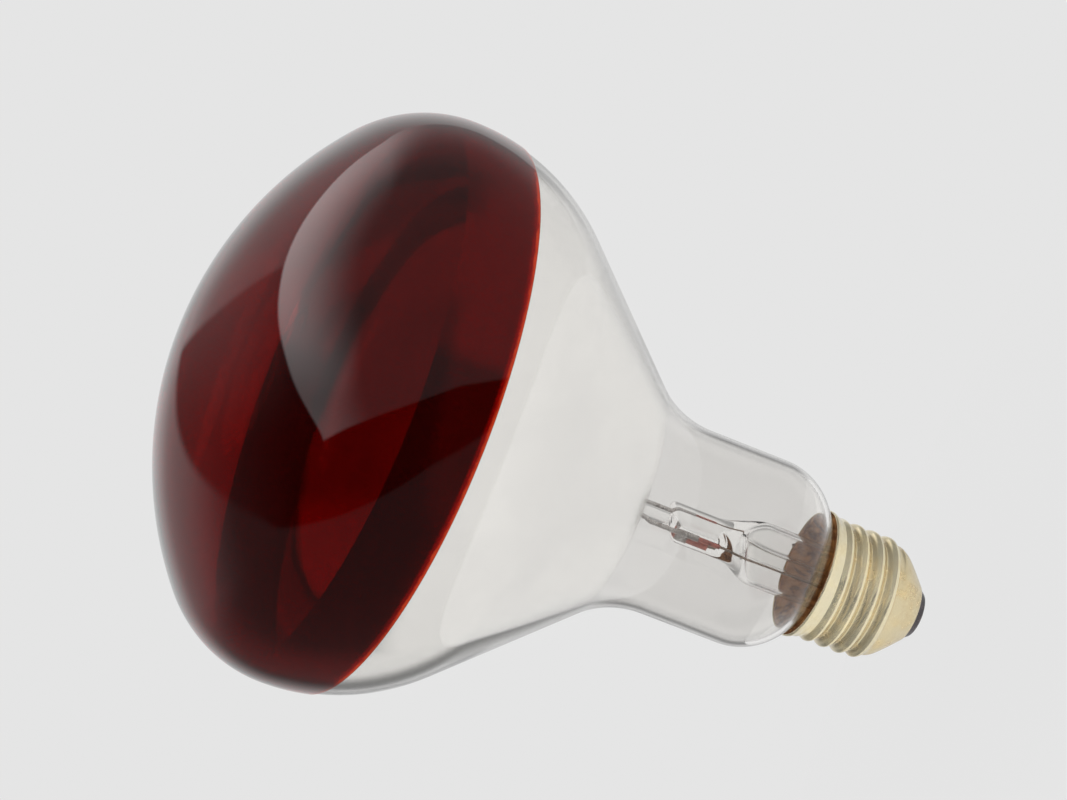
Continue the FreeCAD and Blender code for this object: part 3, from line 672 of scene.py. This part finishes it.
def rolled_shell():
    """A plain tube of the shell's wall, rolled to the thread on both faces."""
    plain, rows = 30.0, 110
    half = SHELL_WALL / 2
    bm, foot = outline_from(plain, SHELL_END)
    tip = run(bm, foot, plain, CAP_RIM - half, steps=rows)
    tip = bend(bm, tip, (plain - half, CAP_RIM - half), 180, 6)
    tip = run(bm, tip, plain - SHELL_WALL, SHELL_END, steps=rows)
    bmesh.ops.contextual_create(bm, geom=[tip, foot])
    turn_outline(bm, 144)
    for vert in bm.verts:
        turn = math.atan2(vert.co.y, vert.co.x) / TURN
        reach = math.hypot(vert.co.x, vert.co.y)
        r = shell_radius(turn, vert.co.z / MM, plain - reach / MM) * MM
        vert.co.x *= r / reach
        vert.co.y *= r / reach
    piece("rolled_shell", bm, BRASS, "pale_brass", "screw_shell", crease=60)


def basing_ring():
    """Cement set hard against the glass seat, proud in small lumps at the rim."""
    bond, lump, lump_scale = 0.02, 0.0002, 900
    bore_r, low_z, web_z = 2.3, 17.5, 18.2
    rim_z, outer_r = 25.98, 11.78
    brow = ((13.27, 25.7), (12.68, 24.95), (outer_r, 24.5))
    bm, low = outline_from(bore_r, low_z)
    tip = run(bm, low, bore_r, web_z)
    tip = run(bm, tip, SEAT_R - bond, web_z + 0.2, steps=10)
    tip = run(bm, tip, *swing(SEAT, SEAT_FILLET + bond, 180), steps=4)
    tip = bend(bm, tip, SEAT, -SHOULDER_ANGLE, 12)
    foot = swing(SEAT, SEAT_FILLET + bond, 180 - SHOULDER_ANGLE)
    tip = run(bm, tip, foot[0] + (rim_z - foot[1]) * FLANK_SLOPE, rim_z, steps=4)
    tip = run(bm, tip, brow[0][0], rim_z, steps=4)
    for corner in brow:
        tip = run(bm, tip, *corner)
    tip = run(bm, tip, outer_r, low_z, steps=4)
    bmesh.ops.contextual_create(bm, geom=[tip, low])
    turn_outline(bm, 160)
    for vert in bm.verts:
        if vert.co.z > 25.9 * MM or vert.co.z < 18.3 * MM:
            vert.co.z -= lump * (0.5 + 0.5 * noise.noise(vert.co * lump_scale))
    piece("basing_ring", bm, CEMENT, "basing_cement", "cap_cement")


def moulded_insulator():
    bore_r, face_z, floor_z = 1.2, 0.35, 3.95
    corner = (4.15, 1.35)
    bm, first = outline_from(bore_r, face_z)
    tip = run(bm, first, corner[0], face_z, steps=2)
    tip = bend(bm, tip, corner, 56, 8)
    for r, z, steps in (
        (5.93, 2.22, 2), (10.2, 6.64, 2), (8.0, 6.64, 1), (5.45, floor_z, 1), (bore_r, floor_z, 1),
    ):
        tip = run(bm, tip, r, z, steps)
    bmesh.ops.contextual_create(bm, geom=[tip, first])
    turn_outline(bm, 96)
    piece("moulded_insulator", bm, INSULATOR, "dark_insulator", "cap_insulator")


blown_envelope()
red_front()
mirror_cone()
stem()
exhaust()
filament_support()
coiled_filament()
rolled_shell()
basing_ring()
moulded_insulator()

# The wires and the small metal pieces keep their CAD shapes.
kept = {
    "inner_lead_a": NICKEL,
    "inner_lead_b": NICKEL,
    "seal_wire_a": SEAL,
    "seal_wire_b": SEAL,
    "outer_lead_centre": LEAD,
    "outer_lead_side": LEAD,
    "centre_contact": CONTACT,
    "contact_solder": SOLDER,
    "side_solder": SOLDER,
}
for number in range(1, 6):
    kept["filament_hook_%d" % number] = TUNGSTEN
for name, finish in kept.items():
    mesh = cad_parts[name].data
    mesh.materials.clear()
    mesh.materials.append(finish)


# Camera at the photograph's angle, with its axes in the part's frame
TILT, LOOK_DOWN, YAW = math.radians(21.44), math.radians(16.83), math.radians(-65.0)
turn = Matrix.Rotation(YAW, 3, "Z")
ahead = turn @ Vector((0, math.cos(LOOK_DOWN), -math.sin(LOOK_DOWN)))
level = turn @ Vector((1, 0, 0))
rise = turn @ Vector((0, math.sin(LOOK_DOWN), math.cos(LOOK_DOWN)))
right = math.sin(TILT) * level - math.cos(TILT) * rise
up = math.cos(TILT) * level + math.sin(TILT) * rise
eye = Vector((0, 0, 0.07909)) - 0.009083 * right + 0.017141 * up - 1.452 * ahead
lens = bpy.data.cameras.new("photo_camera")
lens.lens = 239.5
lens.sensor_width = 36
lens.clip_end = 50
camera = bpy.data.objects.new("photo_camera", lens)
camera.matrix_world = Matrix((right, up, -ahead)).transposed().to_4x4()
camera.location = eye
bpy.context.scene.collection.objects.link(camera)
bpy.context.scene.camera = camera


# Studio
PALE = 0.783
FLOOR_R, FLOOR_Z = 0.17, -0.05
FLOOR_MIRRORED, FLOOR_THROUGH_GLASS = 0.6, 0.38


def floor_piece():
    bm = bmesh.new()
    bmesh.ops.create_circle(bm, cap_ends=True, segments=96, radius=FLOOR_R)
    bmesh.ops.translate(bm, verts=bm.verts[:], vec=(0, 0, FLOOR_Z))
    mesh = bpy.data.meshes.new("studio_floor")
    bm.to_mesh(mesh)
    bm.free()
    finish = bpy.data.materials.new("studio_floor")
    finish.use_nodes = True
    tree = finish.node_tree
    shader = tree.nodes["Principled BSDF"]
    shader.inputs["Base Color"].default_value = (PALE, PALE, PALE, 1)
    shader.inputs["Roughness"].default_value = 0.9
    shader.inputs["Specular IOR Level"].default_value = 0.0
    path = plug(tree, "ShaderNodeLightPath")
    camera_ray = path.outputs["Is Camera Ray"]
    glossy_ray = path.outputs["Is Glossy Ray"]
    glass_ray = path.outputs["Is Transmission Ray"]
    seen = sum_of(tree, "MAXIMUM", camera_ray, glass_ray)
    share = sum_of(tree, "MULTIPLY", sum_of(tree, "MAXIMUM", seen, glossy_ray), 0.97)
    plain = plug(tree, "ShaderNodeEmission")
    plain.inputs["Color"].default_value = (1, 1, 1, 1)
    level = remap(tree, glossy_ray, 0.0, 1.0, PALE, FLOOR_MIRRORED)
    clear = sum_of(tree, "MULTIPLY", glass_ray, FLOOR_THROUGH_GLASS)
    tree.links.new(sum_of(tree, "ADD", level, clear), plain.inputs["Strength"])
    mix = plug(tree, "ShaderNodeMixShader")
    tree.links.new(share, mix.inputs[0])
    tree.links.new(shader.outputs["BSDF"], mix.inputs[1])
    tree.links.new(plain.outputs["Emission"], mix.inputs[2])
    tree.links.new(mix.outputs["Shader"], tree.nodes["Material Output"].inputs["Surface"])
    mesh.materials.append(finish)
    floor = bpy.data.objects.new("studio_floor", mesh)
    bpy.context.scene.collection.objects.link(floor)


def studio_world():
    """A soft box, a wall and a bench round the lamp, placed by direction, and a pale backdrop."""
    world = bpy.data.worlds.new("studio")
    world.use_nodes = True
    bpy.context.scene.world = world
    tree = world.node_tree
    way = plug(tree, "ShaderNodeTexCoord").outputs["Generated"]

    def along(vector):
        node = plug(tree, "ShaderNodeVectorMath", operation="DOT_PRODUCT")
        node.inputs[1].default_value = vector
        tree.links.new(way, node.inputs[0])
        return node.outputs["Value"]

    def lit(first, mask, second):
        node = plug(tree, "ShaderNodeMix", data_type="FLOAT")
        tree.links.new(mask, node.inputs["Factor"])
        for socket, value in ((node.inputs[2], first), (node.inputs[3], second)):
            if isinstance(value, (int, float)):
                socket.default_value = value
            else:
                tree.links.new(value, socket)
        return node.outputs[0]

    def ramp(value, *limits, smooth=True):
        return remap(tree, value, *limits, smooth=smooth)

    def times(first, second):
        return sum_of(tree, "MULTIPLY", first, second)

    def plus(first, second):
        return sum_of(tree, "ADD", first, second)

    def most(first, second):
        return sum_of(tree, "MAXIMUM", first, second)

    deep, high, aside = along(ahead), along(up), along(right)
    axis = along(Vector((0, 0, 1)))
    # Dim room on the left, and the pale wall behind it
    room = times(ramp(high, 0.05, 0.4, 0.09, 0.25), ramp(deep, -0.3, 0.45, 0.1, 1.0))
    wall = ramp(along(ahead + 1.15 * up), 1.02, 1.06)
    walls = lit(room, wall, ramp(deep, 0.72, 0.93, 0.5, 0.8))
    # Soft box over the lamp, brightest along its outer edge
    box = along(0.352 * right + 0.775 * up - 0.524 * ahead)
    edge_light = times(ramp(aside, -0.75, 0.0, 2.4, 0.2), ramp(high, 0.25, 0.58, 0.35, 1.0))
    glow = plus(times(edge_light, ramp(box, 0.0, 0.42, 1.0, 0.0)), 0.23)
    inside = times(ramp(box, -0.012, 0.006), ramp(high, 0.09, 0.12))
    walls = lit(walls, inside, glow)
    # Bench under the lamp
    fall = ramp(deep, 0.0, 1.0, 0.0, 0.25, smooth=False)
    drop = along(0.17 * right - up + 0.55 * ahead)
    below = ramp(sum_of(tree, "SUBTRACT", drop, fall), 0.0, 0.05)
    bench = times(ramp(deep, 0.15, 0.65, 0.0, 0.38), ramp(high, -0.6, 0.0))
    bench = plus(plus(bench, 0.12), ramp(deep, 0.78, 0.95, 0.0, 0.25))
    walls = lit(walls, below, bench)
    # Pale room seen through the glass, darker above and below the lamp
    pale = most(ramp(deep, 0.3, 0.6), ramp(aside, 0.3, 0.55))
    pale = most(pale, ramp(axis, -0.62, -0.42, 1.0, 0.0))
    overhead = times(ramp(high, 0.6, 0.8), ramp(deep, -0.1, 0.05, 1.0, 0.0))
    through = lit(lit(0.5, overhead, 0.95), pale, ramp(deep, 0.9, 0.99, 0.96, 0.82))
    above = times(ramp(high, 0.15, 0.35), ramp(aside, 0.24, 0.4, 1.0, 0.0))
    beside = most(ramp(high, -0.44, -0.26, 1.0, 0.0), above)
    through = lit(through, times(beside, ramp(deep, 0.72, 0.88)), 0.3)
    path = plug(tree, "ShaderNodeLightPath")
    strength = lit(walls, path.outputs["Is Transmission Ray"], through)
    strength = lit(strength, path.outputs["Is Camera Ray"], PALE)
    background = tree.nodes["Background"]
    background.inputs["Color"].default_value = (1, 1, 1, 1)
    tree.links.new(strength, background.inputs["Strength"])


def soft_lamp(name, place, size, power, target=Vector((0, 0, 0.08))):
    """A round soft lamp that lights the piece but is not mirrored in it."""
    light = bpy.data.lights.new(name, "AREA")
    light.shape = "DISK"
    light.size = size
    light.energy = power
    lamp = bpy.data.objects.new(name, light)
    lamp.location = place
    lamp.rotation_euler = (target - place).to_track_quat("-Z", "Y").to_euler()
    lamp.visible_camera = False
    lamp.visible_glossy = False
    lamp.visible_transmission = False
    bpy.context.scene.collection.objects.link(lamp)


floor_piece()
studio_world()
soft_lamp("key_lamp", eye * 0.5 + Vector((0, 0, 1.1)), 0.9, 14.0)
soft_lamp("fill_lamp", Vector((1.1, 0.5, 0.9)), 1.2, 7.0)
cap = Vector((0, 0, 0.012))
beside_cap = cap + 0.2 * (0.35 * right - 0.4 * up - 0.85 * ahead)
soft_lamp("cap_lamp", beside_cap, 0.3, 1.6, cap)

scene = bpy.context.scene
scene.view_settings.view_transform = "Standard"
scene.cycles.max_bounces = 32
scene.cycles.transmission_bounces = 32
scene.cycles.glossy_bounces = 12
